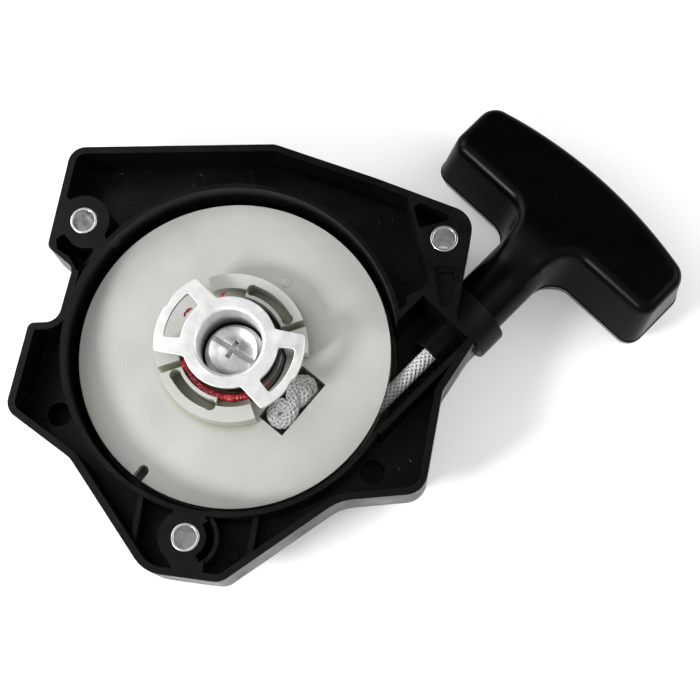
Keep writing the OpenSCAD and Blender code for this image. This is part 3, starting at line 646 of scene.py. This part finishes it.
for node, look in knots.items():
    place = Matrix.Translation(look["at"]) @ Matrix.Rotation(math.radians(look["turn"]), 4, "Z")
    path = smoothPath([place @ Vector(point) for point in look["points"]], knotStep)
    across, up = carriedFrame(path)
    mesh = braidedRope(
        node + "_braid", lambda i: path[i], lambda i: across[i], lambda i: up[i], lambda i: i * knotStep,
        len(path), thick=look["thick"])
    placePiece(node + "_braid", mesh, look["body"], "knotNylon", "knot_nylon", [node])
print("knots:", len(knots))

coil = {"radius": 12.0, "wire": 0.9, "turns": 4, "pitch": 2.3, "bottom": -13.6}
grease = {"from": 186, "to": 300, "radius": 12.45, "thick": 0.85, "lumps": 0.45, "z": -3.6}


def coilCurve(name, places, depth, swell=None):
    curve = bpy.data.curves.new(name, "CURVE")
    curve.dimensions = "3D"
    curve.bevel_depth = depth * mm
    curve.bevel_resolution = 4
    curve.use_fill_caps = True
    spline = curve.splines.new("POLY")
    spline.points.add(len(places) - 1)
    for i, place in enumerate(places):
        spline.points[i].co = (*(place * mm), 1)
        spline.points[i].radius = swell[i] if swell else 1
    return meshFromCurve(name, curve)


coilPlaces = [
    Vector((coil["radius"] * math.cos(angle), coil["radius"] * math.sin(angle),
            coil["bottom"] + coil["pitch"] * angle / (2 * math.pi)))
    for angle in [2 * math.pi * coil["turns"] * i / 240 for i in range(241)]]
placePiece("damper_coil", coilCurve("damper_coil", coilPlaces, coil["wire"]), "reel", "greasedSpring",
           "greased_spring", ["damper_spring"])
random.seed(7)
greasePlaces, greaseSwell = [], []
greaseCount = 110
for i in range(greaseCount):
    share = i / (greaseCount - 1)
    angle = math.radians(grease["from"] + (grease["to"] - grease["from"]) * share)
    radius = grease["radius"] + 0.28 * math.sin(i * 1.1) * math.cos(i * 0.37) + random.uniform(-0.1, 0.1)
    greasePlaces.append(Vector((radius * math.cos(angle), radius * math.sin(angle),
                                grease["z"] + random.uniform(-0.12, 0.12))))
    fade = min(1, share / 0.12, (1 - share) / 0.12)
    greaseSwell.append(fade * (1 - grease["lumps"] * random.random() ** 2) + 0.05)
placePiece("damper_grease", coilCurve("damper_grease", greasePlaces, grease["thick"], greaseSwell), "reel",
           "redGrease", "greased_spring")

smears = [  # place on the lobes, length, width and turn
    ((-2.7, 14.7, -4.7), 1.0, 0.34, 40), ((-10.9, 9.6, -1.5), 1.1, 0.4, 35), ((-11.8, 8.6, -1.5), 0.8, 0.3, 75)]
bm = bmesh.new()
for (x, y, z), length, width, angle in smears:
    blob = bmesh.ops.create_icosphere(bm, subdivisions=3, radius=1)["verts"]
    for vert in blob:
        vert.co += vert.co.normalized() * 0.25 * math.sin(5 * vert.co.x + 3 * vert.co.y)
    bmesh.ops.scale(bm, verts=blob, vec=(length, width, 0.09))
    bmesh.ops.rotate(bm, verts=blob, cent=(0, 0, 0), matrix=Matrix.Rotation(math.radians(angle), 3, "Z"))
    bmesh.ops.translate(bm, verts=blob, vec=(x, y, z))
bmesh.ops.scale(bm, verts=bm.verts, vec=(mm, mm, mm))
placePiece("grease_smears", meshFrom(bm, "grease_smears"), "reel", "redGrease", "greased_spring")
print("damper ready")

grip = {
    "start": 73.2, "end": 92.8, "crown": 4.9, "half": 34.6, "corner": 3.6, "high": 11.0, "seam": -4.4, "round": 2.3,
    "draftIn": 4.4, "draftOut": 0.9, "draftEnd": 1.3, "draftLow": 1.2, "stem": 7.6, "stemStart": 47.5,
    "draftStem": 0.7, "rise": (59.0, 76.0), "squaring": (61.0, 73.0), "fillet": 5.8, "bore": 2.4, "voxel": 0.62,
    "proud": 0.22, "seamEdge": 0.3, "neckShort": 8, "walks": 9, "smoothedWalks": (3, 5, 7), "probe": 0.02}


def roundedMeet(first, second, radius):  # where two faces meet in a rounded edge
    return (math.hypot(max(first + radius, 0), max(second + radius, 0)) - radius
            + min(max(first, second) + radius, 0))


def roundedJoin(first, second, radius):  # where two shapes join in a fillet
    return max(radius, min(first, second)) - math.hypot(max(radius - first, 0), max(radius - second, 0))


def rampOf(value, low, high):
    share = min(max((value - low) / (high - low), 0), 1)
    return share * share * (3 - 2 * share)


def gripDistance(a, b, z):  # how far a place lies outside the handle, in the pull's frame
    up = min(max((z - grip["seam"]) / (grip["high"] - grip["seam"]), 0), 1)
    down = min(max((grip["seam"] - z) / (grip["seam"] + grip["high"]), 0), 1)
    inner = 0.96 * (grip["start"] + grip["draftIn"] * up + grip["draftLow"] * down - a)  # 0.96 for its slope
    crown = grip["end"] + grip["crown"] * (1 - (b / grip["half"]) ** 2)
    outer = 0.98 * (a - crown + grip["draftOut"] * up + 0.5 * grip["draftLow"] * down)
    end = abs(b) - grip["half"] + grip["draftEnd"] * up + 0.5 * grip["draftLow"] * down
    bar = roundedMeet(max(inner, outer), end, grip["corner"])
    neck = max(abs(b) - grip["stem"] + grip["draftStem"] * up, a - grip["end"] + grip["neckShort"])
    plan = roundedJoin(bar, neck, grip["fillet"])
    height = grip["stem"] + (grip["high"] - grip["stem"]) * rampOf(a, *grip["rise"])
    tee = roundedMeet(plan, abs(z) - height, grip["round"])
    rod = roundedMeet(math.hypot(b, z) - grip["stem"], grip["stemStart"] - a, 0.6)
    share = rampOf(a, *grip["squaring"])
    return rod + (tee - rod) * share


def pullMatrix():
    return Matrix.Translation(pullFoot) @ Matrix.Rotation(pull["heading"], 4, "Z")


def addRod(bm, start, end, radius, segments=64):
    made = bmesh.ops.create_cone(bm, cap_ends=True, segments=segments, radius1=radius, radius2=radius,
                                 depth=end - start)["verts"]
    bmesh.ops.rotate(bm, verts=made, cent=(0, 0, 0), matrix=Matrix.Rotation(math.radians(90), 3, "Y"))
    bmesh.ops.translate(bm, verts=made, vec=((start + end) / 2, 0, 0))


def modified(name, mesh, kind, **settings):  # the mesh after one modifier
    made = linked(name, mesh)
    change = made.modifiers.new(name, kind)
    for key, value in settings.items():
        setattr(change, key, value)
    return evaluatedMesh(made)


bm = bmesh.new()
middle, depth = (grip["start"] + grip["end"] + grip["crown"]) / 2, grip["end"] + grip["crown"] - grip["start"]
bar = bmesh.ops.create_cube(bm, size=1)["verts"]
bmesh.ops.scale(bm, verts=bar, vec=(depth, 2 * grip["half"], 2 * grip["high"]))
bmesh.ops.translate(bm, verts=bar, vec=(middle, 0, 0))
addRod(bm, grip["stemStart"], middle, grip["stem"])
addRod(bm, grip["start"] - 4, middle, grip["high"])
roughGrip = modified("roughGrip", meshFrom(bm, "roughGrip"), "REMESH", mode="VOXEL", voxel_size=grip["voxel"])
bm = bmesh.new()
bm.from_mesh(roughGrip)
step = grip["probe"]
for turn in range(grip["walks"]):  # walk each corner onto the handle's own surface
    if turn in grip["smoothedWalks"]:
        bmesh.ops.smooth_vert(bm, verts=bm.verts, factor=0.5, use_axis_x=True, use_axis_y=True, use_axis_z=True)
    for vert in bm.verts:
        a, b, z = vert.co
        away = gripDistance(a, b, z)
        slope = Vector((gripDistance(a + step, b, z) - away, gripDistance(a, b + step, z) - away,
                        gripDistance(a, b, z + step) - away)) / step
        vert.co -= slope * (away / max(slope.length_squared, 0.2))
bmesh.ops.transform(bm, matrix=pullMatrix(), verts=bm.verts)
bmesh.ops.scale(bm, verts=bm.verts, vec=(mm, mm, mm))
boreBm = bmesh.new()
addRod(boreBm, grip["stemStart"] - 4, grip["start"], grip["bore"], 40)
bmesh.ops.transform(boreBm, matrix=pullMatrix(), verts=boreBm.verts)
bmesh.ops.scale(boreBm, verts=boreBm.verts, vec=(mm, mm, mm))
boreTool = linked("boreTool", meshFrom(boreBm, "boreTool"))
gripMesh = modified("boredGrip", meshFrom(bm, "boredGrip"), "BOOLEAN", object=boreTool, operation="DIFFERENCE")
bpy.data.objects.remove(boreTool)

seam = (0, 0, (pullFoot.z + grip["seam"]) * mm)
for node, keepAbove in (("grip_upper_shell", True), ("grip_lower_shell", False)):
    bm = bmesh.new()
    bm.from_mesh(gripMesh)
    if not keepAbove:
        bm.normal_update()
        for vert in bm.verts:
            vert.co += vert.normal * grip["proud"] * mm
    cut = bmesh.ops.bisect_plane(
        bm, geom=bm.verts[:] + bm.edges[:] + bm.faces[:], plane_co=seam, plane_no=(0, 0, 1),
        clear_outer=not keepAbove, clear_inner=keepAbove)["geom_cut"]
    bmesh.ops.triangle_fill(bm, edges=[part for part in cut if isinstance(part, bmesh.types.BMEdge)],
                            use_beauty=True, use_dissolve=True)
    bmesh.ops.recalc_face_normals(bm, faces=bm.faces)
    piece = placePiece(node + "_body", meshFrom(bm, node + "_body", 0), "handle", "gripPlastic", "grip_plastic",
                       [node])
    softenEdges(piece, grip["seamEdge"], 2, 55)
print("handle ready")

marks = {
    "ring": 1.75, "line": 0.11, "z": -12.0,
    "places": [(-31.9, 48.5), (-11.2, 48.2), (1.8, 48.9), (17.4, 45.6), (38.4, 35.9), (43.2, 20.6), (-28.1, 39.8),
               (-48.4, -14.2), (-20.9, -47.2), (0.2, -50.2), (8.7, -44.8), (46.6, -15.7), (42.7, -28.1)]}
bm = bmesh.new()
for x, y in marks["places"]:
    profile = bmesh.ops.create_circle(bm, segments=6, radius=marks["line"])["verts"]
    bmesh.ops.rotate(bm, verts=profile, cent=(0, 0, 0), matrix=Matrix.Rotation(math.radians(90), 3, "X"))
    bmesh.ops.translate(bm, verts=profile, vec=(marks["ring"], 0, 0))
    edges = list({edge for vert in profile for edge in vert.link_edges})
    spun = bmesh.ops.spin(bm, geom=profile + edges, cent=(0, 0, 0), axis=(0, 0, 1), angle=2 * math.pi, steps=28,
                          use_merge=True)
    ring = list({vert for part in spun["geom_last"] for vert in getattr(part, "verts", [part])} | set(profile))
    island, grow = set(ring), list(ring)
    while grow:
        for edge in grow.pop().link_edges:
            for vert in edge.verts:
                if vert not in island:
                    island.add(vert)
                    grow.append(vert)
    bmesh.ops.translate(bm, verts=list(island), vec=(x, y, marks["z"]))
bmesh.ops.recalc_face_normals(bm, faces=bm.faces)
bmesh.ops.scale(bm, verts=bm.verts, vec=(mm, mm, mm))
placePiece("ejector_marks", meshFrom(bm, "ejector_marks"), "housing", "housingNylon", "housing_nylon")

gate = {"place": (12.9, 18.5, -7.6), "radius": 1.5, "height": 0.3}
bm = bmesh.new()
dome = bmesh.ops.create_uvsphere(bm, u_segments=32, v_segments=12, radius=gate["radius"])["verts"]
bmesh.ops.scale(bm, verts=dome, vec=(1, 1, gate["height"] / gate["radius"]))
bmesh.ops.translate(bm, verts=dome, vec=gate["place"])
bmesh.ops.scale(bm, verts=bm.verts, vec=(mm, mm, mm))
placePiece("reel_gate", meshFrom(bm, "reel_gate"), "reel", "reelNylon", "reel_nylon")
print("marks:", len(marks["places"]))

low = cadBox[0]
floorMesh = bpy.data.meshes.new("floor")
bm = bmesh.new()
bmesh.ops.create_grid(bm, x_segments=1, y_segments=1, size=2.0)
bmesh.ops.translate(bm, verts=bm.verts, vec=(0, 0, low[2] - 0.02 * mm))
bm.to_mesh(floorMesh)
bm.free()
floorMesh.materials.append(finishes["floorPaper"])
floor = linked("floor", floorMesh)
floor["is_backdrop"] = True

studio = {  # the tent glows, its foot is dim and a dark hatch lies beyond the top
    "sky": (0.1, 0.72), "skyHeights": (0.05, 0.5), "hatch": 0.05, "hatchWay": (0.15, 0.5, 0.85),
    "hatchEdge": (0.86, 0.945)}
world = bpy.data.worlds.new("studio")
bpy.context.scene.world = world
world.use_nodes = True
sky = world.node_tree
skyWay = addNode(sky, "ShaderNodeTexCoord").outputs["Generated"]
above = addNode(sky, "ShaderNodeSeparateXYZ", {"Vector": skyWay})
glow = spread(sky, above.outputs["Z"], *studio["sky"], *studio["skyHeights"])
toHatch = addNode(sky, "ShaderNodeVectorMath", {
    0: skyWay, 1: studio["hatchWay"]}, operation="DOT_PRODUCT")
dim = spread(sky, toHatch.outputs["Value"], 1, studio["hatch"], *studio["hatchEdge"])
glow = addNode(sky, "ShaderNodeMath", {0: glow, 1: dim}, operation="MULTIPLY").outputs["Value"]
sky.links.new(glow, sky.nodes["Background"].inputs["Strength"])
sky.nodes["Background"].inputs["Color"].default_value = (1, 1, 1, 1)

lamps = {
    # name: place, target, size, watts
    "keyPanel": ((-0.42, 0.2, 0.4), (0.01, 0, 0), 0.4, 1.7),
    "fillPanel": ((0.5, 0.1, 0.4), (0.02, 0, 0), 0.4, 1.1),
    "lowPanel": ((-0.37, -0.25, 0.33), (0.05, 0.02, 0), 0.13, 2.6),
}
for name, (place, target, size, watts) in lamps.items():
    light = bpy.data.lights.new(name, "AREA")
    light.shape = "SQUARE"
    light.size = size
    light.energy = watts
    lamp = linked(name, light)
    lamp.location = place
    lamp.rotation_euler = (Vector(target) - Vector(place)).to_track_quat("-Z", "Y").to_euler()

view = {
    "place": (0.0415, -0.0842, 0.3252),
    "right": (0.99931, 0, -0.03709), "up": (0.009137, 0.96918, 0.24617), "back": (0.03595, -0.24634, 0.96851),
    "lens": 70.37}
cameraData = bpy.data.cameras.new("camera")
cameraData.lens = view["lens"]
cameraData.sensor_width = 36
cameraData.clip_start = 0.01
camera = linked("camera", cameraData)
turn = Matrix((view["right"], view["up"], view["back"])).transposed()
camera.matrix_world = Matrix.Translation(view["place"]) @ turn.to_4x4()
bpy.context.scene.camera = camera
bpy.context.scene.view_settings.view_transform = "Standard"  # plain whites and true blacks
print("stage ready")

size = {"cad": [list(corner) for corner in cadBox], "visual": [list(corner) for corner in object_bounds()]}
